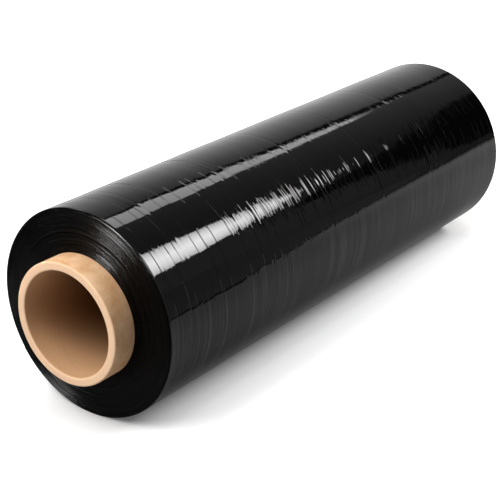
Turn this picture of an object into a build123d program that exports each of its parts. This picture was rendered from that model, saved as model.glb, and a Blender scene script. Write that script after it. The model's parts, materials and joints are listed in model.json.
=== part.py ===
from build123d import *
import os
from math import cos, radians, sin, sqrt

# A roll of black stretch film, lying on its side on a small flat spot.
# +X runs along the roll's axis, +Z is up, and the origin is on the floor under the middle of the roll.
# All lengths are in millimetres and all angles in degrees.

# Driving dimensions of the core, a spiral-wound paperboard tube
CORE_BORE = 76.2
CORE_WALL = 6.4
CORE_OVERHANG = 19.0
CORE_EDGE_BEVEL = 1.2

# Driving dimensions of the wound film
ROLL_DIAMETER = 152.0
FILM_WIDTH = 457.0
FLAT_SPOT_WIDTH = 18.0

# The loose end of the outermost turn: a small step, low on the back of the roll
TAIL_STEP = 0.3
TAIL_ANGLE = 235.0

# Rims of the film, worn round by handling
RIM_ROUND = 1.6

# Gauge bands: shallow valleys round the roll where the film runs thin, at uneven places
BAND_COUNT = 9
BAND_DEPTH = 0.4
BAND_WIDTH = 4.0
BAND_MARGIN = 12.0
BAND_UNEVEN = 0.35

# Turn lines: shallow rings on both end faces, where some turns sit deeper than their neighbours
TURN_LINE_COUNT = 4
TURN_LINE_DEPTH = 0.5
TURN_LINE_WIDTH = 2.4

# How far a cutting shape stands out past the surface that it cuts
CUT_MARGIN = 1.0

# Values that follow from the driving dimensions
bore_radius = CORE_BORE / 2
core_radius = bore_radius + CORE_WALL
core_length = FILM_WIDTH + 2 * CORE_OVERHANG
roll_radius = ROLL_DIAMETER / 2
film_depth = roll_radius - core_radius
axis_height = sqrt(roll_radius**2 - (FLAT_SPOT_WIDTH / 2) ** 2)
near_face = -FILM_WIDTH / 2
far_face = FILM_WIDTH / 2
roll_axis = Axis((0, 0, axis_height), (1, 0, 0))

# Section plane through the roll's axis: the first coordinate is X, the second the distance from the axis
radial_plane = Plane((0, 0, axis_height), x_dir=(1, 0, 0), z_dir=(0, -1, 0))


def around(angle, radius):
    """Point on a cross-section of the roll, at an angle from the top that grows towards -Y."""
    return (-radius * sin(radians(angle)), radius * cos(radians(angle)))


def ring(profile):
    """Turns a profile, drawn on the radial plane, once round the roll's axis."""
    return revolve(radial_plane * profile, roll_axis)


def valley(centre, half_width, depth, surface, along_axis):
    """A V-shaped cutting profile whose tip lies depth below a surface.

    On the outer wall the surface is a radius and the valley is centred on a place along X.
    On an end face the surface is a place along X and the valley is centred on a radius.
    """
    outward = 1 if surface > 0 else -1
    reach = half_width * (depth + CUT_MARGIN) / depth
    tip = surface - outward * depth
    top = surface + outward * CUT_MARGIN
    corners = [(centre - reach, top), (centre, tip), (centre + reach, top)]
    if not along_axis:
        corners = [(x, r) for r, x in corners]
    return make_face(Polyline(*corners, close=True))


def rim_cut(face):
    """Cutting profile that rounds a rim of the film with two flats."""
    inward = -1 if face > 0 else 1
    soft = RIM_ROUND * (1 - 1 / sqrt(2))
    start = (face + inward * RIM_ROUND, roll_radius)
    middle = (face + inward * soft, roll_radius - soft)
    end = (face, roll_radius - RIM_ROUND)
    run = (start[0] - middle[0], start[1] - middle[1])
    above = (start[0] + run[0], start[1] + run[1])
    drop = (end[0] - middle[0], end[1] - middle[1])
    beyond = (end[0] + drop[0], end[1] + drop[1])
    corner = (beyond[0], above[1])
    return make_face(Polyline(above, middle, beyond, corner, close=True))


def film_section():
    """Cross-section of the wound film: a spiral of two half turns that ends in the tail's step.

    The first half turn is an arc about the axis. The second is smaller by half a step, about a
    centre half a step away, so that it starts one step lower at the tail and runs out flush.
    """
    seam_angle = TAIL_ANGLE - 180
    centre = around(seam_angle, TAIL_STEP / 2)
    crown = around(TAIL_ANGLE + 90, roll_radius - TAIL_STEP / 2)
    flush = around(seam_angle, roll_radius)
    tail = around(TAIL_ANGLE, roll_radius)
    under_tail = around(TAIL_ANGLE, roll_radius - TAIL_STEP)
    outer_half = ThreePointArc(flush, around(seam_angle + 90, roll_radius), tail)
    step = Line(tail, under_tail)
    inner_half = ThreePointArc(under_tail, (centre[0] + crown[0], centre[1] + crown[1]), flush)
    outline = make_face([outer_half, step, inner_half])
    return outline - Circle(core_radius)


def band_places():
    """Uneven places of the gauge bands along X: an even row, each place moved by a slow beat."""
    span = FILM_WIDTH - 2 * BAND_MARGIN
    pitch = span / BAND_COUNT
    golden_turn = 137.5
    for index in range(BAND_COUNT):
        beat = sin(radians(golden_turn * index))
        yield index, near_face + BAND_MARGIN + pitch * (index + 0.5 + BAND_UNEVEN * beat)


def gauge_bands():
    """Cutting profiles of the valleys round the outer wall, wide and narrow by turns."""
    cuts = Sketch()
    for index, place in band_places():
        share = (1.0, 0.6, 0.8)[index % 3]
        cuts += valley(place, share * BAND_WIDTH / 2, share * BAND_DEPTH, roll_radius, True)
    return cuts


def turn_lines(face):
    """Cutting profiles of the rings on one end face, spread over the depth of the film."""
    cuts = Sketch()
    pitch = film_depth / (TURN_LINE_COUNT + 1)
    for index in range(1, TURN_LINE_COUNT + 1):
        radius = core_radius + pitch * index
        cuts += valley(radius, TURN_LINE_WIDTH / 2, TURN_LINE_DEPTH, face, False)
    return cuts


def make_film_roll():
    """The wound film as one solid, open round its core."""
    section_plane = Plane((near_face, 0, axis_height), x_dir=(0, 1, 0), z_dir=(1, 0, 0))
    film = extrude(section_plane * film_section(), FILM_WIDTH)
    film -= ring(gauge_bands())
    for face in (near_face, far_face):
        film -= ring(turn_lines(face))
        film -= ring(rim_cut(face))
    under_floor = Box(
        FILM_WIDTH + 2 * CUT_MARGIN,
        ROLL_DIAMETER,
        roll_radius,
        align=(Align.CENTER, Align.CENTER, Align.MAX),
    )
    return film - under_floor


def make_core_tube():
    """The paperboard tube that the film is wound on, with the edges of its cut ends bevelled."""
    wall = Rectangle(core_length, CORE_WALL)
    bevelled = chamfer(wall.vertices(), CORE_EDGE_BEVEL)
    return ring(Pos(0, bore_radius + CORE_WALL / 2) * bevelled)


os.makedirs("parts", exist_ok=True)
export_step(make_film_roll(), "parts/film_roll.step")
export_step(make_core_tube(), "parts/core_tube.step")
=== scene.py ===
import json

import bpy
import numpy as np
from bpy.props import FloatProperty, FloatVectorProperty, IntProperty, PointerProperty
from mathutils import Matrix, Vector


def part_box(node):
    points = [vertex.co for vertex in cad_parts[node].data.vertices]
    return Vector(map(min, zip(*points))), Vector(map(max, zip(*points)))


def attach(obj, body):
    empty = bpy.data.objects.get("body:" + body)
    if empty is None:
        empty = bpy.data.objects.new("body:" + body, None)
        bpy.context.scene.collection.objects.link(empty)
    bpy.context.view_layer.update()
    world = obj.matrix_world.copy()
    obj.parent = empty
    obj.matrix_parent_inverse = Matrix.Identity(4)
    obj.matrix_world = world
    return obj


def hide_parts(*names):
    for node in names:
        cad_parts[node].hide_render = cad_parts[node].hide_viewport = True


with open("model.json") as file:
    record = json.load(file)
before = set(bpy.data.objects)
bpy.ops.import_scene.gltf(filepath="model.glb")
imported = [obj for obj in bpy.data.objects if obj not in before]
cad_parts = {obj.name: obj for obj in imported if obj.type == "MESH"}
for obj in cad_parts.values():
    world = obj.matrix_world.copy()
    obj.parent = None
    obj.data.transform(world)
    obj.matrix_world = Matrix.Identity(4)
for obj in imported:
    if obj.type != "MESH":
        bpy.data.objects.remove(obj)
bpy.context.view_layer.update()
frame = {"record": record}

bl_info = {
    "name": "Stretch Wrap Roll",
    "version": (1, 0, 0),
    "blender": (4, 5, 0),
    "location": "3D View > Sidebar > Wrap Roll",
    "description": "A roll of black stretch film on a kraft core, with its studio",
    "category": "Object",
}

# The frame gives the roll's sizes: +X runs along its axis, with the end that shows at -X.
FILM_LOW, FILM_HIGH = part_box("film_roll")
CORE_LOW, CORE_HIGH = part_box("core_tube")
CORE_BORE = next(mount for mount in frame["record"]["mounts"] if mount["name"] == "core_bore")
AXIS_HEIGHT = CORE_BORE["pos_m"][2]
MM = 0.001
TURN = 2 * np.pi

# An index times this angle gives a beat that doesn't repeat within the roll.
BEAT = np.radians(137.5)

# Fineness of the meshes: columns round the axis, rows along the wall, down a face and across a cut.
FILM_COLUMNS, WALL_ROWS, FACE_ROWS = 128, 540, 44
CORE_COLUMNS, CUT_ROWS = 160, 9

POLYETHYLENE_IOR = 1.51
PAPER_IOR = 1.45


def linear(hex_colour):
    """Linear RGB of an sRGB hex colour."""
    channels = np.array([int(hex_colour[i : i + 2], 16) for i in (1, 3, 5)]) / 255
    dark = channels / 12.92
    light = ((channels + 0.055) / 1.055) ** 2.4
    return tuple(np.where(channels <= 0.04045, dark, light).tolist())


def length(name, description, default):
    """A length setting, in metres."""
    return FloatProperty(name=name, description=description, default=default, unit="LENGTH", precision=5)


def angle(name, description, degrees):
    """An angle setting, given in degrees."""
    default = np.radians(degrees)
    return FloatProperty(name=name, description=description, default=default, subtype="ANGLE")


def number(name, description, default):
    """A plain number setting."""
    return FloatProperty(name=name, description=description, default=default)


def colour(name, description, hex_colour):
    """A colour setting, given as an sRGB hex value."""
    default = linear(hex_colour)
    return FloatVectorProperty(
        name=name, description=description, default=default, subtype="COLOR", size=3, min=0, max=1
    )


class FilmSettings(bpy.types.PropertyGroup):
    """Sizes and colours of the wound film."""

    radius: length("Radius", "Radius of the full roll", -FILM_LOW.y)
    width: length("Width", "Width of the film along the roll", FILM_HIGH.x - FILM_LOW.x)
    rim_round: length("Rim round", "Radius of the worn rims", 1.6 * MM)
    tail_step: length("Tail step", "Height of the step at the film's loose end", 0.3 * MM)
    tail_angle: angle("Tail angle", "Place of the loose end, from the top towards -Y", 235)
    band_count: IntProperty(name="Bands", description="Gauge bands along the roll", default=9)
    band_depth: length("Band depth", "Depth of the deepest gauge band", 0.07 * MM)
    band_width: length("Band width", "Width of the widest gauge band", 4.0 * MM)
    band_margin: length("Band margin", "Bare strip at each end", 12 * MM)
    band_uneven: number("Band unevenness", "How far a band strays, as a share of the pitch", 0.35)
    ring_slope: number("Ring slope", "Steepness of the fine rings round the wall", 0.003)
    ring_start: length("Ring start", "Distance from the near end where the rings grow steep", 95 * MM)
    line_pitch: length("Line pitch", "Mean distance between the sharp ring lines", 12 * MM)
    line_depth: length("Line depth", "Depth of the deepest sharp ring line", 0.05 * MM)
    line_width: length("Line width", "Width of a sharp ring line", 0.7 * MM)
    strip_depth: length("Strip depth", "Unroundness of the strips between the sharp lines", 0.05 * MM)
    strip_waves: IntProperty(name="Strip waves", description="Waves round each strip", default=7)
    sway_slope: number("Sway slope", "Steepness of the long swells along the wall", 0.004)
    slant_slope: number("Slant slope", "Steepness of the slanting stretch marks", 0.004)
    turn_line_count: IntProperty(name="Turn lines", description="Deep rings on each end face", default=4)
    turn_line_depth: length("Turn line depth", "Depth of a deep ring", 0.22 * MM)
    turn_line_width: length("Turn line width", "Width of a deep ring", 1.8 * MM)
    turn_slope: number("Turn slope", "Steepness of the fine rings on the end faces", 0.06)
    wall_colour: colour("Wall colour", "Black pigmented film, seen on the wall", "#040404")
    # Painted reflection: the streak colour lightens the black in streaks on the lower half, standing in for
    # uneven shine.
    reflection_streak_colour: colour("Streak colour", "Streaks of thinner pigment on the wall", "#323232")
    edge_colour: colour("Edge colour", "Stacked film edges, seen on the ends", "#030303")


class CoreSettings(bpy.types.PropertyGroup):
    """Sizes and colours of the paperboard core."""

    bore: length("Bore radius", "Radius of the open bore", CORE_BORE["dims"]["r_mm"] * MM)
    outside: length("Outer radius", "Radius of the tube's outer wall", CORE_HIGH.y)
    length: length("Length", "Length of the tube", CORE_HIGH.x - CORE_LOW.x)
    edge_round: length("Edge round", "Radius of the rounded edges of the cut ends", 1.2 * MM)
    fuzz: length("Fuzz", "Height of the torn fibres on the cut ends", 0.12 * MM)
    ply_width: length("Ply width", "Width of the paper strip, along the tube", 95 * MM)
    paper_colour: colour("Paper colour", "Unbleached kraft paper", "#C99A6D")
    pale_colour: colour("Pale colour", "Pale fibres", "#E0BA95")
    cut_colour: colour("Cut colour", "Fresh board of the cut ends", "#F1CBA8")
    deep_colour: colour("Deep colour", "Darker flecks and the ply seam", "#B98B60")
    # Painted shade: the innermost ply runs from the inner colour at the ends to the darker depth colour deep
    # in the bore.
    inner_colour: colour("Inner colour", "Innermost ply near the ends, faded by light", "#C79D76")
    bore_shade_colour: colour("Depth colour", "Innermost ply deep inside, unfaded brown", "#75502E")
    bore_shade_depth: length("Fade depth", "How far into the bore the ply has faded", 75 * MM)


class StageSettings(bpy.types.PropertyGroup):
    """Camera, floor and lights."""

    azimuth: angle("Azimuth", "Camera's direction round the roll", -53.39)
    elevation: angle("Elevation", "Camera's height above the horizon", 22.98)
    distance: length("Distance", "Camera's distance from the middle of the roll", 1.0541)
    aside: length("Aside", "Camera's step to its right", -0.02485)
    above: length("Above", "Camera's step upwards, in its own frame", -0.02774)
    lens: number("Lens", "Focal length in millimetres on a 36 mm sensor", 94.56)
    floor_colour: colour("Floor colour", "White table top", "#F2F2F2")
    floor_bounce: number("Floor bounce", "Share of the floor's white that lights the roll", 0.5)
    floor_mirror: number("Floor mirror", "Share of the floor's white that the film's gloss shows", 0.45)
    floor_lift: number("Floor lift", "White added where the camera sees the floor", 0.11)
    fill: number("Fill", "Even light from all round", 0.06)
    key_level: number("Key level", "Brightness of the large box overhead", 2.25)
    end_level: number("End level", "Brightness of the box before the near end", 8.0)
    main_level: number("Main level", "Brightness of the box in the main highlight", 26)
    upper_level: number("Upper level", "Brightness of the strip in the upper highlight", 4.2)
    side_level: number("Side level", "Brightness of the two strips beside the near half", 12)
    front_level: number("Front level", "Brightness of the card that the near end's rings reflect", 320)
    wall_level: number("Wall level", "Brightness of the pale studio wall at floor level", 0.95)
    ceiling_level: number("Ceiling level", "Brightness of the dim studio ceiling", 0.2)
    black_level: number("Black level", "Brightness of the black cloths", 0.02)


def wall_angles(columns, film):
    """Angles of the columns: even, with a close pair at the tail so that its step stays sharp."""
    even = np.linspace(0, TURN, columns - 2, endpoint=False)
    close = np.radians(0.1)
    away = np.abs(even - film.tail_angle) > 3 * close
    pair = [film.tail_angle - close, film.tail_angle + close]
    return np.sort(np.concatenate([even[away], pair]))


def ripples(place, random, count, lengths, slope, sway):
    """Sum of sine waves along a length, of random phase and of wavelengths between two lengths.

    Each wave's steepest slope is the slope over the root of the count, and sway shifts its place.
    """
    shortest, longest = np.log(lengths)
    wavelengths = np.exp(random.uniform(shortest, longest, count))
    phases = random.uniform(0, TURN, count)
    total = np.zeros(np.broadcast(place, sway).shape)
    for wavelength, phase in zip(wavelengths, phases):
        wave = np.sin(TURN * (place + sway) / wavelength + phase)
        total += wave * wavelength * slope / TURN
    return total / np.sqrt(count)


def soft_valley(offset, half_width):
    """A smooth valley of depth 1: minus a bell curve that fades out past the half width."""
    return -np.exp(-((offset / (0.55 * half_width)) ** 2))


def s_curve(place, middle, softness):
    """Runs smoothly from 0 before the middle to 1 past it: the logistic curve."""
    return 1 / (1 + np.exp((middle - place) / softness))


def line_places(film):
    """Places of the sharp ring lines along the roll: an even row, each place moved by a slow beat."""
    index = np.arange(int(film.width / film.line_pitch) - 1)
    return film.line_pitch * (index + 0.8 + 0.25 * np.sin(BEAT * index))


def wall_relief(along, around, film):
    """Height of the wall over the roll's radius, from the distance along the roll and the angle.

    It is the spiral of the last turn, which loses one step over a full turn, plus the valleys of
    the gauge bands, plus sharp V-shaped ring lines, plus waves round each strip between two lines, of
    random phase, plus fine rings, long swells and slanting stretch marks as sine waves. The lines and
    the strips are bold near the visible end, and the fine rings away from it.
    """
    random = np.random.default_rng(7)
    lines = line_places(film)
    phases = np.random.default_rng(5).uniform(0, TURN, len(lines) + 1)
    spiral = -film.tail_step * (1 - np.mod(around - film.tail_angle, TURN) / TURN)
    relief = spiral + 0 * along
    pitch = (film.width - 2 * film.band_margin) / film.band_count
    for index in range(film.band_count):
        place = film.band_margin + pitch * (index + 0.5 + film.band_uneven * np.sin(BEAT * index))
        share = (1.0, 0.6, 0.8)[index % 3]
        valley = soft_valley(along - place, share * film.band_width / 2)
        relief = relief + share * film.band_depth * valley
    bold = 1 - 0.88 * s_curve(along, 1.4 * film.ring_start, 6 * MM)
    for index, place in enumerate(lines):
        share = (1.0, 0.8, 0.9, 0.85)[index % 4]
        inside = np.maximum(0, 1 - np.abs(along - place) / (film.line_width / 2))
        relief = relief - bold * share * film.line_depth * inside
    strip = phases[np.searchsorted(lines, along)]
    relief = relief + bold * film.strip_depth * np.sin(film.strip_waves * around + strip)
    growth = 0.3 + 0.7 * s_curve(along, film.ring_start, 8 * MM)
    sway = 0.6 * MM * np.sin(around + 1.0) + 0.3 * MM * np.sin(3 * around)
    slant = 18 * MM * around
    # Each kind of wave: its share of the height, count, shortest and longest wave, slope and sway.
    for share, count, lengths, slope, shift in (
        (growth, 22, (2.4 * MM, 6 * MM), film.ring_slope, sway),
        (1.0, 6, (40 * MM, 150 * MM), film.sway_slope, 4 * sway),
        (1.0, 8, (9 * MM, 26 * MM), film.slant_slope, slant),
    ):
        relief = relief + share * ripples(along, random, count, lengths, slope, shift)
    return relief - relief.max()


def face_relief(radius, around, film, core, seed):
    """Height of an end face over its plane, from the radius and the angle.

    It is the deep turn lines, at even radii, plus fine rings as sine waves across the turns.
    """
    random = np.random.default_rng(seed)
    relief = 0 * radius + 0 * around
    pitch = (film.radius - core.outside) / (film.turn_line_count + 1)
    for index in range(1, film.turn_line_count + 1):
        offset = radius - core.outside - pitch * index
        relief = relief + film.turn_line_depth * soft_valley(offset, film.turn_line_width / 2)
    sway = 0.25 * MM * np.sin(around + seed) + 0.1 * MM * np.sin(2 * around)
    return relief + ripples(radius, random, 10, (2.4 * MM, 7 * MM), film.turn_slope, sway)


def lathe(name, x, radius, angles):
    """Closed mesh of a grid turned round the roll's axis, joined up in both directions.

    Rows run round the profile and columns round the axis. A point lies at x, minus radius times
    the sine of its angle, and the axis height plus radius times the cosine. What would lie under the
    floor is lifted to it, which gives the flat spot that the roll rests on.
    """
    rows, columns = radius.shape
    y = -radius * np.sin(angles)
    z = np.maximum(AXIS_HEIGHT + radius * np.cos(angles), 0)
    points = np.stack([x, y, z], axis=-1).reshape(-1, 3)
    row = np.arange(rows)[:, None] * columns
    next_row = np.roll(row, -1, axis=0)
    column = np.arange(columns)[None, :]
    next_column = np.roll(column, -1, axis=1)
    corners = [row + column, row + next_column, next_row + next_column, next_row + column]
    quads = np.stack(corners, axis=-1).reshape(-1, 4)
    mesh = bpy.data.meshes.new(name)
    mesh.from_pydata(points.tolist(), [], quads.tolist())
    mesh.shade_smooth()
    piece = bpy.data.objects.new(name, mesh)
    bpy.context.scene.collection.objects.link(piece)
    return piece


def quarter(count):
    """Sines and cosines of a quarter turn in even steps, without its two ends."""
    steps = np.linspace(0, np.pi / 2, count + 2)[1:-1]
    return np.sin(steps), np.cos(steps)


def wall_rows(film):
    """Places of the wall's rows along X, and which of them are creases.

    The rows are even, with three more across each sharp ring line: its two edges and its bottom.
    """
    half = film.width / 2
    even = np.linspace(-half + film.rim_round, half - film.rim_round, WALL_ROWS)
    lines = line_places(film)[:, None] - half
    across = (lines + film.line_width * np.array([-0.5, 0, 0.5])).ravel()
    plain = even[np.abs(even[None, :] - lines).min(axis=0) > 0.75 * film.line_width]
    rows = np.concatenate([plain, across])
    crease = np.concatenate([0 * plain, np.ones_like(across)])
    order = np.argsort(rows)
    return rows[order], crease[order]


def crease_rings(piece, crease):
    """Marks as sharp the edges that run round the axis on the crease rows of a lathed mesh."""
    edges = piece.data.edges
    ends = np.empty(2 * len(edges), dtype=np.int32)
    edges.foreach_get("vertices", ends)
    row = ends.reshape(-1, 2) // (len(piece.data.vertices) // len(crease))
    sharp = (row[:, 0] == row[:, 1]) & (crease[row[:, 0]] > 0)
    edges.foreach_set("use_edge_sharp", sharp)


def film_profile(film, core):
    """The film's section, once round: wall, far rim, far face, bore, near face and near rim.

    Gives each row's x and radius before relief, how much of the wall's and of the face's relief it
    takes, its side (-1 at the near end, 1 at the far end, 0 between), its finish (0 on the wall
    and in the bore, 1 on a face, 2 on a rim) and whether it is a crease.
    """
    half = film.width / 2
    rim = film.rim_round
    clearance = 0.05 * MM
    bore = core.outside + clearance
    wall_x, wall_crease = wall_rows(film)
    sine, cosine = quarter(5)
    face_radius = np.linspace(film.radius - rim, bore, FACE_ROWS)
    outness = (face_radius - bore) / (film.radius - rim - bore)
    ones = np.ones_like
    far_x = np.concatenate([half - rim + rim * sine, half * ones(face_radius)])
    far_radius = np.concatenate([film.radius - rim + rim * cosine, face_radius])
    far_wall = np.concatenate([ones(sine), outness**2])
    far_face = np.concatenate([sine**2, ones(face_radius)])
    far_finish = np.concatenate([np.where(sine < 0.6, 2, 1), ones(face_radius)])
    bore_x = np.linspace(half, -half, 6)[1:-1]
    none = 0 * bore_x
    wall_radius = film.radius * ones(wall_x)
    x = np.concatenate([wall_x, far_x, bore_x, -far_x[::-1]])
    radius = np.concatenate([wall_radius, far_radius, bore * ones(bore_x), far_radius[::-1]])
    wall_share = np.concatenate([ones(wall_x), far_wall, none, far_wall[::-1]])
    face_share = np.concatenate([0 * wall_x, far_face, none, far_face[::-1]])
    side = np.concatenate([0 * wall_x, ones(far_x), none, -ones(far_x)])
    finish = np.concatenate([0 * wall_x, far_finish, none, far_finish[::-1]])
    crease = np.concatenate([wall_crease, 0 * far_x, none, 0 * far_x])
    return [column[:, None] for column in (x, radius, wall_share, face_share, side, finish, crease)]


def make_film(film, core):
    """The wound film: its section turned round the axis, with the relief of the wall and the ends."""
    angles = wall_angles(FILM_COLUMNS, film)[None, :]
    x, radius, wall_share, face_share, side, finish, crease = film_profile(film, core)
    along = np.clip(x + film.width / 2, film.rim_round, film.width - film.rim_round)
    near = face_relief(radius, angles, film, core, seed=11)
    far = face_relief(radius, angles, film, core, seed=12)
    face = np.where(side < 0, near, far)
    lifted = radius + wall_share * wall_relief(along, angles, film)
    moved = x + side * face_share * (face - np.maximum(near.max(), far.max()))
    piece = lathe("film_roll_wound", moved, lifted, angles)
    crease_rings(piece, crease[:, 0])
    for material in (stretch_film_wall(film), stacked_film_edges(film), scuffed_film_rim(film)):
        piece.data.materials.append(material)
    index = np.repeat(finish[:, 0].astype(np.int32), angles.shape[1])
    piece.data.polygons.foreach_set("material_index", index)
    return piece


def core_profile(core):
    """The tube's section, once round: outer wall, far end, bore and near end, with rounded edges.

    Its rows along the tube stand closer together near the ends.
    """
    half = core.length / 2
    edge = core.edge_round
    close = 30 * MM
    to_middle = np.concatenate([np.linspace(0, close, 24), np.linspace(close, half, 9)[1:]])
    run = np.concatenate([to_middle[:-1], core.length - to_middle[::-1]])
    wall_x = edge + run * (1 - 2 * edge / core.length) - half
    sine, cosine = quarter(4)
    cut = np.linspace(core.outside - edge, core.bore + edge, CUT_ROWS)
    ones = np.ones_like
    flat = half - edge
    far_x = np.concatenate([flat + edge * sine, half * ones(cut), flat + edge * cosine])
    far_radius = np.concatenate([cut[0] + edge * cosine, cut, cut[-1] - edge * sine])
    outer, inner = core.outside * ones(wall_x), core.bore * ones(wall_x)
    x = np.concatenate([wall_x, far_x, wall_x[::-1], -far_x[::-1]])
    radius = np.concatenate([outer, far_radius, inner, far_radius[::-1]])
    at_end = np.concatenate([0 * wall_x, ones(far_x), 0 * wall_x, ones(far_x)])
    return [column[:, None] for column in (x, radius, at_end)]


def make_core(core):
    """The tube: its section turned round the axis, with torn fibres on its cut ends.

    The fibres lower an end by sine waves of the angle, each shifted by the radius, and never
    pass its plane.
    """
    random = np.random.default_rng(3)
    angles = np.linspace(0, TURN, CORE_COLUMNS, endpoint=False)[None, :]
    x, radius, at_end = core_profile(core)
    outness = (radius - core.bore) / (core.outside - core.bore)
    fuzz = np.zeros_like(x + angles)
    for waves in random.integers(5, 46, 16):
        phase = random.uniform(0, TURN)
        shift = random.uniform(0, TURN) * outness
        fuzz = fuzz + np.sin(waves * angles + phase + shift)
    fuzz = fuzz / np.abs(fuzz).max()
    moved = x - np.sign(x) * at_end * core.fuzz * (1 + fuzz) / 2
    piece = lathe("core_tube_kraft", moved, radius + 0 * angles, angles)
    piece.data.materials.append(kraft_board(core))
    return piece


def add_node(tree, kind, values=None, links=None, **settings):
    """Adds a node with its settings, its input values and the sockets or nodes that feed it.

    A node that is given as a source feeds its first output that is in use.
    """
    node = tree.nodes.new(kind)
    for name, value in settings.items():
        setattr(node, name, value)
    for socket, value in (values or {}).items():
        node.inputs[socket].default_value = value
    for socket, source in (links or {}).items():
        if isinstance(source, bpy.types.Node):
            source = next(output for output in source.outputs if output.enabled)
        tree.links.new(source, node.inputs[socket])
    return node


def empty_material(name):
    """A material with no nodes yet, and its tree."""
    material = bpy.data.materials.new(name)
    material.use_nodes = True
    material.node_tree.nodes.clear()
    return material, material.node_tree


def turn_from_top(tree, parts):
    """A node that gives the angle round the roll's axis from the top, alike on both sides."""
    level = add_node(tree, "ShaderNodeMath", {1: AXIS_HEIGHT}, {0: parts["Z"]}, operation="SUBTRACT")
    aside = add_node(tree, "ShaderNodeMath", links={0: parts["Y"]}, operation="ABSOLUTE")
    return add_node(tree, "ShaderNodeMath", links={0: aside, 1: level}, operation="ARCTAN2")


def wound_noise(tree, place, across, run, detail, roughness=0.5):
    """A node that gives noise, fine along the roll and drawn out round it, as winding leaves it."""
    space = add_node(
        tree, "ShaderNodeMapping", {"Scale": (1 / across, 1 / run, 1 / run)}, {"Vector": place}
    )
    return add_node(
        tree,
        "ShaderNodeTexNoise",
        {"Scale": 1.0, "Detail": detail, "Roughness": roughness},
        {"Vector": space},
    )


def ring_grooves(tree, place, parts, turn, film):
    """A node that gives the depth of the fine ring grooves, from 0 to 1.

    They are V-shaped and stand at random places along X, many shallow ones and a few deep ones. They
    grow past the calm strip at the near end, and are deepest on the roll's two shoulders.
    """
    pitch, width, stray = 2.4 * MM, 1.3 * MM, 90 * MM
    calm, passage = FILM_LOW.x + film.ring_start, 15 * MM
    shoulder, full, faded = np.radians((48, 10, 22))
    strays = add_node(tree, "ShaderNodeTexNoise", {"Scale": 1 / stray}, {"Vector": place})
    row = add_node(
        tree, "ShaderNodeMath", {1: 1 / pitch}, {0: parts["X"], 2: strays}, operation="MULTIPLY_ADD"
    )
    cells = add_node(
        tree,
        "ShaderNodeTexVoronoi",
        {"Scale": 1.0},
        {"W": row},
        voronoi_dimensions="1D",
    ).outputs
    shape = add_node(
        tree,
        "ShaderNodeMapRange",
        {"From Min": 0.0, "From Max": width / (2 * pitch), "To Min": 1.0, "To Max": 0.0},
        {"Value": cells["Distance"]},
    )
    depth = add_node(tree, "ShaderNodeMath", {1: 2.5}, {0: cells["Color"]}, operation="POWER")
    growth = add_node(
        tree,
        "ShaderNodeMapRange",
        {"From Min": calm - passage, "From Max": calm + passage, "To Min": 0.3, "To Max": 1.0},
        {"Value": parts["X"]},
    )
    offset = add_node(tree, "ShaderNodeMath", {1: shoulder}, {0: turn}, operation="SUBTRACT")
    distance = add_node(tree, "ShaderNodeMath", links={0: offset}, operation="ABSOLUTE")
    spread = add_node(
        tree,
        "ShaderNodeMapRange",
        {"From Min": full, "From Max": faded, "To Min": 1.0, "To Max": 0.35},
        {"Value": distance},
    )
    height = shape
    for share in (depth, growth, spread):
        height = add_node(tree, "ShaderNodeMath", links={0: height, 1: share}, operation="MULTIPLY")
    return height


def painted_reflection_streaks(tree, place, turn):
    """A node that rises to 1 in painted reflection streaks, which stay on the lower half."""
    start, end = np.radians((72, 86))
    thin = add_node(
        tree,
        "ShaderNodeMapRange",
        {"From Min": 0.5, "From Max": 0.66},
        {"Value": wound_noise(tree, place, 2.2 * MM, 150 * MM, detail=3.0, roughness=0.6)},
    )
    lower = add_node(tree, "ShaderNodeMapRange", {"From Min": start, "From Max": end}, {"Value": turn})
    return add_node(tree, "ShaderNodeMath", links={0: thin, 1: lower}, operation="MULTIPLY")


def finish_film(tree, noise, smooth, rough, values, links):
    """Ends a film's tree with a plastic gloss, whose roughness follows a noise from smooth to rough."""
    grain = add_node(
        tree,
        "ShaderNodeMapRange",
        {"From Min": 0.3, "From Max": 0.7, "To Min": smooth, "To Max": rough},
        {"Value": noise},
    )
    shader = add_node(
        tree,
        "ShaderNodeBsdfPrincipled",
        {"IOR": POLYETHYLENE_IOR, **values},
        {"Roughness": grain, **links},
    )
    add_node(tree, "ShaderNodeOutputMaterial", links={"Surface": shader})


def stretch_film_wall(film):
    """Linear low-density polyethylene film, blown thin, pigmented black and wound under tension.

    The eye sees a deep gloss with mirror-like bars of light, broken by fine ring lines round the roll,
    with a light haze and faint streaks round the lower half, a painted reflection of uneven shine.
    """
    material, tree = empty_material("black_polyethylene_film_wound_wall")
    place = add_node(tree, "ShaderNodeTexCoord").outputs["Object"]
    parts = add_node(tree, "ShaderNodeSeparateXYZ", links={"Vector": place}).outputs
    turn = turn_from_top(tree, parts)
    hairs = wound_noise(tree, place, 0.9 * MM, 60 * MM, detail=1.0)
    haze = wound_noise(tree, place, 7 * MM, 200 * MM, detail=3.0)
    # Painted reflection: the tint lightens the black film in streaks on the lower half.
    tint = add_node(
        tree,
        "ShaderNodeMix",
        {6: (*film.wall_colour, 1), 7: (*film.reflection_streak_colour, 1)},
        {"Factor": painted_reflection_streaks(tree, place, turn)},
        data_type="RGBA",
    )
    ring_bump = add_node(
        tree,
        "ShaderNodeBump",
        {"Strength": 1.0, "Distance": 0.09 * MM},
        {"Height": ring_grooves(tree, place, parts, turn, film)},
        invert=True,
    )
    hair_bump = add_node(
        tree,
        "ShaderNodeBump",
        {"Strength": 1.0, "Distance": 0.004 * MM},
        {"Height": hairs, "Normal": ring_bump},
    )
    links = {"Base Color": tint, "Normal": hair_bump}
    finish_film(tree, haze, 0.025, 0.06, {"Specular IOR Level": 0.28}, links)
    return material


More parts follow.
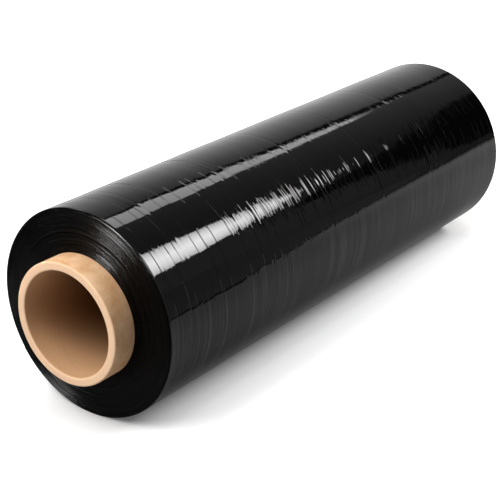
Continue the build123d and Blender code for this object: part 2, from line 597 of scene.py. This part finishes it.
def scuffed_film_rim(film):
    """The corner of the outermost turns, rounded and lightly scuffed by handling.

    The eye sees a thin line that catches the light along the edge of the roll.
    """
    material, tree = empty_material("black_polyethylene_film_scuffed_rim")
    place = add_node(tree, "ShaderNodeTexCoord").outputs["Object"]
    scuff = 1.5 * MM
    scuffs = add_node(
        tree, "ShaderNodeTexNoise", {"Scale": 1 / scuff, "Detail": 2.0}, {"Vector": place}
    )
    values = {"Base Color": (*film.edge_colour, 1), "Specular IOR Level": 0.5}
    finish_film(tree, scuffs, 0.12, 0.2, values, {})
    return material


def stacked_film_edges(film):
    """The slit edges of hundreds of film turns, stacked on the ends of the roll.

    The eye sees a near-black face of fine rings, with a soft sheen where the rings face the light.
    A turn is only about 0.02 mm thick, too fine to show, so the rings are drawn much coarser.
    """
    material, tree = empty_material("black_polyethylene_film_slit_edges")
    place = add_node(tree, "ShaderNodeTexCoord").outputs["Object"]
    turn, bundle = 0.75 * MM, 3.5 * MM
    flat = add_node(
        tree,
        "ShaderNodeMapping",
        {"Location": (0, 0, -AXIS_HEIGHT), "Scale": (0, 1, 1)},
        {"Vector": place},
    )
    radius = add_node(tree, "ShaderNodeVectorMath", links={0: flat}, operation="LENGTH")
    turns = add_node(
        tree,
        "ShaderNodeTexNoise",
        {"Scale": 1 / turn, "Detail": 2.0, "Roughness": 0.7},
        {"W": radius},
        noise_dimensions="1D",
    )
    bundles = add_node(
        tree,
        "ShaderNodeTexNoise",
        {"Scale": 1 / bundle, "Detail": 2.0},
        {"W": radius},
        noise_dimensions="1D",
    )
    bump = add_node(tree, "ShaderNodeBump", {"Strength": 1.0, "Distance": 0.32 * MM}, {"Height": turns})
    values = {"Base Color": (*film.edge_colour, 1), "Specular IOR Level": 0.04}
    finish_film(tree, bundles, 0.15, 0.23, values, {"Normal": bump})
    return material


def ply_seam(tree, parts, level, core):
    """A node that gives the distance along X from the slanting seam of the paper strips.

    The seam moves along by the strip's width in a turn round the axis.
    """
    turn = add_node(tree, "ShaderNodeMath", links={0: parts["Y"], 1: level}, operation="ARCTAN2")
    helix = add_node(
        tree,
        "ShaderNodeMath",
        {1: core.ply_width / TURN},
        {0: turn, 2: parts["X"]},
        operation="MULTIPLY_ADD",
    )
    return add_node(tree, "ShaderNodeMath", {1: core.ply_width}, {0: helix}, operation="PINGPONG")


def board_colour(tree, place, parts, level, core):
    """A node that gives the board's colour: mottled outside, browner inside with painted shade deeper in,
    pale on the cuts.
    """
    cloud, ply, mouth = 11 * MM, 0.9 * MM, 10 * MM
    half = core.length / 2
    section = add_node(tree, "ShaderNodeCombineXYZ", links={"Y": parts["Y"], "Z": level})
    radius = add_node(tree, "ShaderNodeVectorMath", links={0: section}, operation="LENGTH")
    outward = add_node(tree, "ShaderNodeMath", links={0: parts["X"]}, operation="ABSOLUTE")
    clouds = add_node(
        tree, "ShaderNodeTexNoise", {"Scale": 1 / cloud, "Detail": 4.0}, {"Vector": place}
    )
    shares = {}
    # The faded share is painted shade: it darkens the innermost ply from the ends deeper into the bore.
    for name, follows, start, end in (
        ("mottle", clouds, 0.32, 0.68),
        ("inside", radius, core.bore + ply, core.bore + 0.3 * ply),
        ("faded", outward, half - core.bore_shade_depth, half - mouth),
        ("cut", outward, half - 0.8 * core.edge_round, half - core.fuzz),
    ):
        shares[name] = add_node(
            tree, "ShaderNodeMapRange", {"From Min": start, "From Max": end}, {"Value": follows}
        )
    mottled = add_node(
        tree,
        "ShaderNodeMix",
        {6: (*core.paper_colour, 1), 7: (*core.pale_colour, 1)},
        {"Factor": shares["mottle"]},
        data_type="RGBA",
    )
    # Painted shade: the lining darkens from the inner colour to the depth colour deeper in the bore.
    shaded_lining = add_node(
        tree,
        "ShaderNodeMix",
        {6: (*core.bore_shade_colour, 1), 7: (*core.inner_colour, 1)},
        {"Factor": shares["faded"]},
        data_type="RGBA",
    )
    lined = add_node(
        tree,
        "ShaderNodeMix",
        links={"Factor": shares["inside"], 6: mottled, 7: shaded_lining},
        data_type="RGBA",
    )
    return add_node(
        tree,
        "ShaderNodeMix",
        {7: (*core.cut_colour, 1)},
        {"Factor": shares["cut"], 6: lined},
        data_type="RGBA",
    )


def kraft_board(core):
    """Unbleached kraft paperboard, wound in a spiral from glued strips and cut to length.

    The eye sees matt tan paper with soft mottling and short fibres, pale on the cut ends, a faint
    slanting seam where the strips meet, and a browner innermost ply with painted shade that darkens it
    away from the ends.
    Real fibres are far finer, and are drawn as coarse as they need to show.
    """
    material, tree = empty_material("kraft_paperboard_spiral_wound")
    place = add_node(tree, "ShaderNodeTexCoord").outputs["Object"]
    fibre, seam = 0.9 * MM, 0.8 * MM
    parts = add_node(tree, "ShaderNodeSeparateXYZ", links={"Vector": place}).outputs
    level = add_node(tree, "ShaderNodeMath", {1: AXIS_HEIGHT}, {0: parts["Z"]}, operation="SUBTRACT")
    fibres = add_node(
        tree,
        "ShaderNodeTexNoise",
        {"Scale": 1 / fibre, "Detail": 3.0, "Roughness": 0.7},
        {"Vector": place},
    )
    fleck = add_node(
        tree,
        "ShaderNodeMapRange",
        {"From Min": 0.55, "From Max": 0.8, "To Min": 0.0, "To Max": 0.5},
        {"Value": fibres},
    )
    crease = add_node(
        tree,
        "ShaderNodeMapRange",
        {"From Min": 0.0, "From Max": seam, "To Min": 0.14, "To Max": 0.0},
        {"Value": ply_seam(tree, parts, level, core)},
    )
    darker = add_node(tree, "ShaderNodeMath", links={0: fleck, 1: crease}, operation="MAXIMUM")
    shade = add_node(
        tree,
        "ShaderNodeMix",
        {7: (*core.deep_colour, 1)},
        {"Factor": darker, 6: board_colour(tree, place, parts, level, core)},
        data_type="RGBA",
        blend_type="MULTIPLY",
    )
    bump = add_node(
        tree, "ShaderNodeBump", {"Strength": 0.6, "Distance": 0.06 * MM}, {"Height": fibres}
    )
    shader = add_node(
        tree,
        "ShaderNodeBsdfPrincipled",
        {"Roughness": 0.85, "IOR": PAPER_IOR, "Specular IOR Level": 0.1},
        {"Base Color": shade, "Normal": bump},
    )
    add_node(tree, "ShaderNodeOutputMaterial", links={"Surface": shader})
    return material


def way_from_roll(tree, parts):
    """A node that gives the distance on the floor from the middle line under the film."""
    beyond = add_node(tree, "ShaderNodeMath", links={0: parts["X"]}, operation="ABSOLUTE")
    past_end = add_node(
        tree, "ShaderNodeMath", {1: FILM_HIGH.x}, {0: beyond}, operation="SUBTRACT", use_clamp=True
    )
    aside = add_node(tree, "ShaderNodeCombineXYZ", links={"X": past_end, "Y": parts["Y"]})
    return add_node(tree, "ShaderNodeVectorMath", links={0: aside}, operation="LENGTH")


def white_table_top(stage):
    """Matt white laminate, white where it is seen, with the roll's soft shadow, partly real, partly painted.

    Its white is dimmer in the film's gloss and in the light that it throws back on the roll, and far
    from the roll it glows white by itself. Where seen, its glow is weaker near the roll, painted shade
    that deepens the real shadow there. In the gloss its white is dimmer near the roll, painted shade too,
    and it also glows a little right under the roll and more behind it, painted light.
    """
    material, tree = empty_material("white_table_top")
    path = add_node(tree, "ShaderNodeLightPath").outputs
    place = add_node(tree, "ShaderNodeTexCoord").outputs["Object"]
    parts = add_node(tree, "ShaderNodeSeparateXYZ", links={"Vector": place}).outputs
    away = way_from_roll(tree, parts)
    mirror, lift = stage.floor_mirror, stage.floor_lift
    shares = {}
    # Each share of white: what it follows, from where to where, and its values there. The mirror and
    # close shares paint shade near the roll, and beneath and behind paint light into the gloss.
    for name, follows, start, end, low, high in (
        ("mirror", away, 90 * MM, 200 * MM, 0.75 * mirror, mirror),
        ("close", away, 28 * MM, 60 * MM, lift, 3.4 * lift),
        ("distant", away, 500 * MM, 1200 * MM, 0.0, 1.0),
        ("beneath", away, 45 * MM, 70 * MM, 0.07, 0.0),
        ("behind", parts["Y"], 300 * MM, 1000 * MM, 0.0, 0.7),
    ):
        shares[name] = add_node(
            tree,
            "ShaderNodeMapRange",
            {"From Min": start, "From Max": end, "To Min": low, "To Max": high},
            {"Value": follows},
        )
    glossy = path["Is Glossy Ray"]
    direct = add_node(
        tree,
        "ShaderNodeMath",
        links={0: path["Is Camera Ray"], 1: path["Is Transmission Ray"]},
        operation="MAXIMUM",
    )
    mirrored = add_node(
        tree, "ShaderNodeMath", links={0: glossy, 1: shares["mirror"]}, operation="MULTIPLY"
    )
    seen = add_node(
        tree, "ShaderNodeMath", {1: stage.floor_bounce}, {0: path["Is Diffuse Ray"]}, operation="MULTIPLY"
    )
    for other in (mirrored, direct):
        seen = add_node(tree, "ShaderNodeMath", links={0: seen, 1: other}, operation="MAXIMUM")
    tone = add_node(
        tree,
        "ShaderNodeMix",
        {6: (0, 0, 0, 1), 7: (*stage.floor_colour, 1)},
        {"Factor": seen},
        data_type="RGBA",
    )
    # Painted shade: the glow where seen is weaker near the roll.
    painted_seen_glow = add_node(
        tree, "ShaderNodeMath", links={0: shares["close"], 1: shares["distant"]}, operation="ADD"
    )
    painted_gloss_glow = add_node(
        tree, "ShaderNodeMath", links={0: shares["beneath"], 1: shares["behind"]}, operation="ADD"
    )
    mirror_glow = add_node(
        tree, "ShaderNodeMath", links={0: glossy, 1: painted_gloss_glow}, operation="MULTIPLY"
    )
    strength = add_node(
        tree,
        "ShaderNodeMath",
        links={0: direct, 1: painted_seen_glow, 2: mirror_glow},
        operation="MULTIPLY_ADD",
    )
    glow = add_node(tree, "ShaderNodeEmission", {"Color": (1, 1, 1, 1)}, {"Strength": strength})
    matt = add_node(tree, "ShaderNodeBsdfDiffuse", links={"Color": tone})
    both = add_node(tree, "ShaderNodeAddShader", links={0: matt, 1: glow})
    add_node(tree, "ShaderNodeOutputMaterial", links={"Surface": both})
    return material


def studio_cloth():
    """Stretched studio cloth: an even glow, as bright as the sheet's own level attribute says.

    It is found by reflections alone and not sampled as a lamp, so a cloth in front hides one behind.
    """
    material, tree = empty_material("studio_cloth")
    level = add_node(tree, "ShaderNodeAttribute", attribute_name="level")
    glow = add_node(
        tree, "ShaderNodeEmission", {"Color": (1, 1, 1, 1)}, {"Strength": level.outputs["Fac"]}
    )
    add_node(tree, "ShaderNodeOutputMaterial", links={"Surface": glow})
    material.cycles.emission_sampling = "NONE"
    return material


def stage_sheet(name, points, material):
    """A stage sheet on a grid of points, given as an array of rows and columns."""
    rows, columns = points.shape[:2]
    corner = np.arange(rows - 1)[:, None] * columns + np.arange(columns - 1)[None, :]
    quads = np.stack([corner, corner + 1, corner + columns + 1, corner + columns], axis=-1)
    mesh = bpy.data.meshes.new(name)
    mesh.from_pydata(points.reshape(-1, 3).tolist(), [], quads.reshape(-1, 4).tolist())
    mesh.materials.append(material)
    sheet = bpy.data.objects.new(name, mesh)
    bpy.context.scene.collection.objects.link(sheet)
    return sheet


def reflected_cloth(name, points, level, cloth):
    """A cloth that shows in glossy reflections alone, so that it neither lights nor shades."""
    sheet = stage_sheet(name, points, cloth)
    glow = sheet.data.attributes.new("level", "FLOAT", "POINT")
    glow.data.foreach_set("value", np.broadcast_to(level, points.shape[:2]).ravel())
    sheet.visible_camera = False
    sheet.visible_diffuse = False
    sheet.visible_transmission = False
    sheet.visible_shadow = False


def soft_box(name, level, bearing, distance, middle, size, swing):
    """A rectangular soft box beside the roll, with its long side in a plane through the roll's axis.

    It lights the roll and the floor, but the film's reflections show the cloths and not the box.
    Its bearing is an angle from the top towards -Y, its middle a place along X, and its swing the angle
    by which its +X end stands further out. Its power is its brightness times its area times pi.
    """
    turn, lean = np.radians((bearing, swing))
    out = Vector((0, -np.sin(turn), np.cos(turn)))
    ahead = Vector((1, 0, 0))
    along = ahead * np.cos(lean) + out * np.sin(lean)
    back = out * np.cos(lean) - ahead * np.sin(lean)
    light = bpy.data.lights.new(name, "AREA")
    light.shape = "RECTANGLE"
    light.size, light.size_y = size
    light.energy = level * np.pi * size[0] * size[1]
    lamp = bpy.data.objects.new(name, light)
    place = Vector((middle, 0, AXIS_HEIGHT)) + out * distance
    axes = Matrix((along, back.cross(along), back)).transposed().to_4x4()
    lamp.matrix_world = Matrix.Translation(place) @ axes
    lamp.visible_camera = False
    lamp.visible_glossy = False
    bpy.context.scene.collection.objects.link(lamp)


def arch(bearings, x, span):
    """Points on a round arch over the floor, from bearings in degrees and places along X.

    A point lies at minus the span times the sine of its bearing along Y, and at the cosine's height.
    """
    turn = np.radians(bearings)
    return np.stack([x + 0 * turn, -span * np.sin(turn) + 0 * x, span * np.cos(turn) + 0 * x], axis=-1)


def bar_cloth(name, near, far, widths, level, cloth):
    """A strip of glowing cloth beside the roll, which shows as a bar of light along the film.

    Its middle line runs straight from the near to the far end, each given as a place along X, a
    distance from the axis and a bearing in degrees. Its widths stand at even steps along that line.
    """
    share = np.linspace(0, 1, len(widths))[None, :]
    x, distance, bearing = ((1 - share) * low + share * high for low, high in zip(near, far))
    turn = np.radians(bearing)
    rows = np.shape(level)[0] if np.ndim(level) else 2
    side = np.linspace(-0.5, 0.5, rows)[:, None] * widths
    y = -distance * np.sin(turn) - side * np.cos(turn)
    z = AXIS_HEIGHT + distance * np.cos(turn) - side * np.sin(turn)
    points = np.stack([x + 0 * side, y, z], axis=-1)
    reflected_cloth(name, points, level, cloth)


def ring_cloth(name, x, inner, stops, outer, level, cloth):
    """A flat cloth across the roll's axis, from an inner radius out to a radius that changes.

    The outer radius runs evenly between the values given at the stops, which are bearings in degrees.
    """
    bearings = np.linspace(stops[0], stops[-1], 61)
    radius = np.stack([inner + 0 * bearings, np.interp(bearings, stops, outer)])
    turn = np.radians(bearings)[None, :]
    y = -radius * np.sin(turn)
    z = AXIS_HEIGHT + radius * np.cos(turn)
    reflected_cloth(name, np.stack([x + 0 * y, y, z], axis=-1), level, cloth)


def flat_cloth(name, low, high, level, cloth):
    """A rectangular cloth between two opposite corners that share one coordinate."""
    points = np.tile(np.array(low), (2, 2, 1))
    first, second = (axis for axis in range(3) if low[axis] != high[axis])
    points[1, :, first] = high[first]
    points[:, 1, second] = high[second]
    reflected_cloth(name, points, level, cloth)


def make_floor(stage):
    """A wide white floor that the roll lies on."""
    reach = 12.0
    edge = np.array([-reach, reach])
    x, y = np.meshgrid(edge, edge, indexing="ij")
    stage_sheet("floor", np.stack([x, y, 0 * x], axis=-1), white_table_top(stage))


def hang_arch(stage, cloth):
    """The arch over the roll, a black drape beside the main bar, and a low dim flag on the floor.

    The arch is pale behind the roll and dimmer higher up, then has a black gap and a dim ceiling that
    differs between its near and its far part.
    """
    dim, span = stage.ceiling_level, 2.6
    run = np.array([-9.0, 2.2, 4.3, 9.0])
    far = np.array([0, 0, 1, 1])
    even = np.ones(4)
    edge = -30.6 + 7.0 * far
    # Bearings of the rows behind the roll up to the black gap, and the glow of each row.
    behind = np.stack([-95 * even, -60 * even, edge, edge + 0.5, -18 * even])
    pale = np.stack([even, 0.76 + 0.04 * far, 0.36 + 0.13 * far, 0 * even, 0 * even])
    gap = np.array([0, 0, 0, 1, 1])[:, None]
    behind_glow = stage.wall_level * pale + stage.black_level * gap
    # The ceiling's glow by its bearing, in its near and its far part.
    ceiling = np.linspace(-17.5, 95, 26)
    stops = [-17.5, 0, 25, 45, 55, 72, 90]
    near_glow = np.interp(ceiling, stops, [1.4, 1.05, 0.8, 1.0, 1.65, 1.6, 1.0])
    far_glow = np.interp(ceiling, stops, [1.7, 1.4, 0.8, 0.6, 0.9, 0.8, 0.5])
    ceiling_glow = dim * (np.outer(near_glow, 1 - far) + np.outer(far_glow, far))
    bearings = np.concatenate([behind, ceiling[:, None] * even])
    glow = np.concatenate([behind_glow, ceiling_glow])
    reflected_cloth("studio_arch", arch(bearings, run[None, :], span), glow, cloth)
    # The drape widens along X on both sides of its middle bearing.
    drape_run = np.array([[2.8, 3.15, 3.5, 3.86, 4.27, 9.0]])
    middle, half = 52.0, np.array([[2.0, 6.0, 13.0, 25.0, 34.0, 34.0]])
    drape = middle + half * np.linspace(-1, 1, 9)[:, None]
    reflected_cloth("black_drape", arch(drape, drape_run, span - 0.1), 0.0, cloth)
    # The flag stands on a line along the floor, and is darker at its foot.
    foot = np.array([[0.0, -0.46, 0], [0.3, -0.48, 0], [0.63, -0.70, 0], [5.0, -3.3, 0]])
    height = np.array([0.001, 0.018, 0.022, 0.24])
    flag = foot[:, None, :] + height[None, :, None] * np.array([0, 0, 1])
    reflected_cloth("dim_flag", flag, dim * np.array([0.3, 0.3, 1.25, 1.25]), cloth)


def hang_bars(stage, cloth):
    """The bars of light along the film: the main one, the upper one, and one on each near side.

    The brightness of a graded bar is its share across the bar times its share along it.
    """
    across = np.array([0.45, 0.8, 1.0, 0.85, 0.55])
    along = np.array([1.0, 1.0, 1.0, 0.98, 0.95, 0.89, 0.82, 0.75, 0.7, 0.6, 0.45])
    widths = np.array([0.49, 0.495, 0.5, 0.49, 0.48, 0.465, 0.44, 0.38, 0.3, 0.17, 0.06])
    near, far = (0.5, 1.008, 40.16), (1.72, 1.54, 40.3)
    bar_cloth("main_bar", near, far, widths, stage.main_level * np.outer(across, along), cloth)
    widths = np.array([0.28, 0.26, 0.215, 0.15])
    near, far = (0.4, 0.854, -19.04), (2.85, 2.04, -15.03)
    bar_cloth("upper_bar", near, far, widths, stage.upper_level, cloth)
    across = np.array([0.0, 0.6, 1.0, 0.6, 0.0])
    along = np.array([0.3, 0.8, 1.0, 1.0, 1.0, 1.0, 0.8, 0.0])
    level = stage.side_level * np.outer(across, along)
    for name, bearing in (("side_bar", 40), ("back_bar", -42)):
        near, far = (-2.6, 1.0, bearing), (0.12, 1.0, bearing)
        bar_cloth(name, near, far, 0.34 + 0 * along, level, cloth)


def hang_near_end(stage, cloth):
    """What the near end reflects: a bright card over a black mat, before a black screen.

    A dim collar and a black plug keep the card's glare off the wall and out of the bore.
    """
    black = stage.black_level
    flat_cloth("front_card", (-1.6, 0.36, 0.2), (-1.6, 0.66, 0.7), stage.front_level, cloth)
    flat_cloth("black_mat", (-5.0, -0.2, 0.002), (-0.4, 5.0, 0.002), black, cloth)
    flat_cloth("black_screen", (-1.75, -0.3, 0.003), (-1.75, 3.0, 1.2), black, cloth)
    round_film, in_bore, pinhole = 77.3 * MM, 37 * MM, 1 * MM
    stops, outer = (-88, -18, 0, 14, 34), (0.36, 0.36, 0.2, 0.13, 0.08)
    collar_level = 0.4 * stage.ceiling_level
    ring_cloth("dim_collar", FILM_LOW.x - 3 * MM, round_film, stops, outer, collar_level, cloth)
    stops, outer = (-180, 180), (in_bore, in_bore)
    ring_cloth("black_plug", CORE_LOW.x - 2 * MM, pinhole, stops, outer, black, cloth)


def make_cloths(stage):
    """The cloths of the studio, which the film reflects."""
    cloth = studio_cloth()
    hang_arch(stage, cloth)
    hang_bars(stage, cloth)
    hang_near_end(stage, cloth)


def make_lights(stage):
    """Three soft boxes: overhead, before the near end, and on the side of the main highlight."""
    main_level = 0.7 * stage.main_level
    soft_box("key_box", stage.key_level, bearing=-7, distance=1.2, middle=-0.3, size=(1.7, 1.5), swing=0)
    soft_box("end_box", stage.end_level, bearing=-12, distance=0.98, middle=-1.05, size=(0.9, 0.6), swing=40)
    soft_box("main_box", main_level, bearing=39.9, distance=1.275, middle=1.16, size=(1.2, 0.5), swing=24)


def make_world(stage):
    """White where the camera, a reflection or clear matter sees it, and an even fill light elsewhere."""
    world = bpy.data.worlds.new("white_studio")
    world.use_nodes = True
    tree = world.node_tree
    tree.nodes.clear()
    path = add_node(tree, "ShaderNodeLightPath").outputs
    seen = path["Is Camera Ray"]
    for other in ("Is Glossy Ray", "Is Transmission Ray"):
        seen = add_node(tree, "ShaderNodeMath", links={0: seen, 1: path[other]}, operation="MAXIMUM")
    strength = add_node(
        tree, "ShaderNodeMapRange", {"To Min": stage.fill, "To Max": 1.0}, {"Value": seen}
    )
    sky = add_node(tree, "ShaderNodeBackground", {"Color": (1, 1, 1, 1)}, {"Strength": strength})
    add_node(tree, "ShaderNodeOutputWorld", links={"Surface": sky})
    bpy.context.scene.world = world
    bpy.context.scene.view_settings.view_transform = "Standard"


def make_camera(stage):
    """Camera at the photograph's angle, stepped aside so that the roll sits where it does there."""
    flat = np.cos(stage.elevation)
    back = Vector(
        (np.sin(stage.azimuth) * flat, -np.cos(stage.azimuth) * flat, np.sin(stage.elevation))
    )
    right = Vector((0, 0, 1)).cross(back).normalized()
    up = back.cross(right)
    data = bpy.data.cameras.new("photo_camera")
    data.lens = stage.lens
    data.sensor_width = 36
    data.clip_end = 100
    camera = bpy.data.objects.new("photo_camera", data)
    place = Vector((0, 0, AXIS_HEIGHT)) + back * stage.distance + right * stage.aside + up * stage.above
    camera.matrix_world = Matrix.Translation(place) @ Matrix((right, up, back)).transposed().to_4x4()
    bpy.context.scene.collection.objects.link(camera)
    bpy.context.scene.camera = camera


class WRAPROLL_OT_film(bpy.types.Operator):
    """Build the wound film"""

    bl_idname = "wrap_roll.film"
    bl_label = "Wound film"

    def execute(self, context):
        piece = make_film(context.scene.wrap_film, context.scene.wrap_core)
        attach(piece, "root")
        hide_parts("film_roll")
        return {"FINISHED"}


class WRAPROLL_OT_core(bpy.types.Operator):
    """Build the paperboard core"""

    bl_idname = "wrap_roll.core"
    bl_label = "Paperboard core"

    def execute(self, context):
        piece = make_core(context.scene.wrap_core)
        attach(piece, "root")
        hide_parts("core_tube")
        return {"FINISHED"}


class WRAPROLL_OT_stage(bpy.types.Operator):
    """Build the floor, lights, world and camera"""

    bl_idname = "wrap_roll.stage"
    bl_label = "Studio stage"

    def execute(self, context):
        stage = context.scene.wrap_stage
        make_floor(stage)
        make_cloths(stage)
        make_lights(stage)
        make_world(stage)
        make_camera(stage)
        return {"FINISHED"}


class WRAPROLL_PT_panel(bpy.types.Panel):
    """Lists the roll's pieces and its stage"""

    bl_idname = "WRAPROLL_PT_panel"
    bl_label = "Wrap Roll"
    bl_space_type = "VIEW_3D"
    bl_region_type = "UI"
    bl_category = "Wrap Roll"

    def draw(self, context):
        for operator in OPERATORS:
            self.layout.operator(operator.bl_idname)


OPERATORS = (WRAPROLL_OT_film, WRAPROLL_OT_core, WRAPROLL_OT_stage)
SETTINGS = {"wrap_film": FilmSettings, "wrap_core": CoreSettings, "wrap_stage": StageSettings}


def register():
    """Makes the settings, operators and panel known."""
    for settings in SETTINGS.values():
        bpy.utils.register_class(settings)
    for name, settings in SETTINGS.items():
        setattr(bpy.types.Scene, name, PointerProperty(type=settings))
    for operator in OPERATORS:
        bpy.utils.register_class(operator)
    bpy.utils.register_class(WRAPROLL_PT_panel)


def unregister():
    """Takes them back in the opposite order."""
    bpy.utils.unregister_class(WRAPROLL_PT_panel)
    for operator in reversed(OPERATORS):
        bpy.utils.unregister_class(operator)
    for name, settings in SETTINGS.items():
        delattr(bpy.types.Scene, name)
        bpy.utils.unregister_class(settings)


def main():
    """Builds the roll and its stage."""
    register()
    bpy.ops.wrap_roll.film()
    bpy.ops.wrap_roll.core()
    bpy.ops.wrap_roll.stage()


if __name__ == "__main__":
    main()
